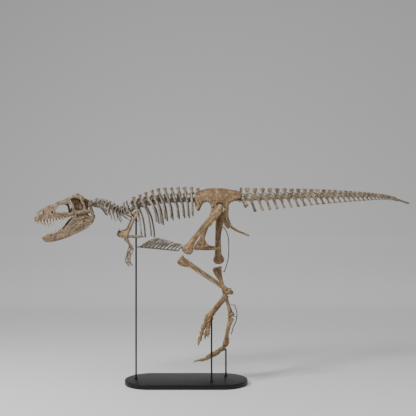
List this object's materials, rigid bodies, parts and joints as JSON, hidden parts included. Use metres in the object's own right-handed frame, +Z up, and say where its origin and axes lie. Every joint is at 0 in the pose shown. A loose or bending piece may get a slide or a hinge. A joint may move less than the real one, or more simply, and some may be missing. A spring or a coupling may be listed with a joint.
{
  "type": "mounted tyrannosaurid dinosaur skeleton",
  "caption": "Life-size mounted skeleton of a slender, two-fingered tyrannosaurid, jaws open and tail level, on a black stand with upright rods.",
  "frame": {"origin": "middle of the underside of the stand's base", "axes": "+Z up; +X towards the tail; -Y the animal's left side; the head points along -X, turned to its left"},
  "size_m": [5.6811, 1.4606, 2.9022],
  "materials": {
    "bone_tan": null,
    "bone_pale": null,
    "bone_grey": null,
    "steel_base": "black, satin",
    "steel_rod": "black, satin"
  },
  "bodies": {
    "root": {"ankle_left": "bone_tan", "ankle_right": "bone_tan", "femur_left": "bone_tan", "femur_right": "bone_tan", "fibula_left": "bone_tan", "fibula_right": "bone_tan", "forearm_left": "bone_grey", "forearm_right": "bone_grey", "furcula": "bone_grey", "gastralia": "bone_grey", "hand_left": "bone_pale", "hand_right": "bone_pale", "humerus_left": "bone_tan", "humerus_right": "bone_tan", "ilium_left": "bone_tan", "ilium_right": "bone_tan", "ischium_left": "bone_tan", "ischium_right": "bone_tan", "mandible": "bone_pale", "metatarsus_left": "bone_tan", "metatarsus_right": "bone_tan", "neck_front": "bone_grey", "neck_rear": "bone_grey", "pubis": "bone_tan", "rib_cage_left": "bone_grey", "rib_cage_right": "bone_grey", "sacrum": "bone_pale", "scapula_left": "bone_tan", "scapula_right": "bone_tan", "skull": "bone_pale", "stand_base": "steel_base", "stand_brace_shin": "steel_rod", "stand_brace_thigh": "steel_rod", "stand_rod_front": "steel_rod", "stand_rod_left": "steel_rod", "stand_rod_right": "steel_rod", "sternal_plate_left": "bone_grey", "sternal_plate_right": "bone_grey", "tail_1": "bone_pale", "tail_2": "bone_pale", "tail_3": "bone_pale", "tail_4": "bone_pale", "tibia_left": "bone_tan", "tibia_right": "bone_tan", "toe_2_left": "bone_tan", "toe_2_right": "bone_tan", "toe_3_left": "bone_tan", "toe_3_right": "bone_tan", "toe_4_left": "bone_tan", "toe_4_right": "bone_tan"}
  },
  "joints": []
}
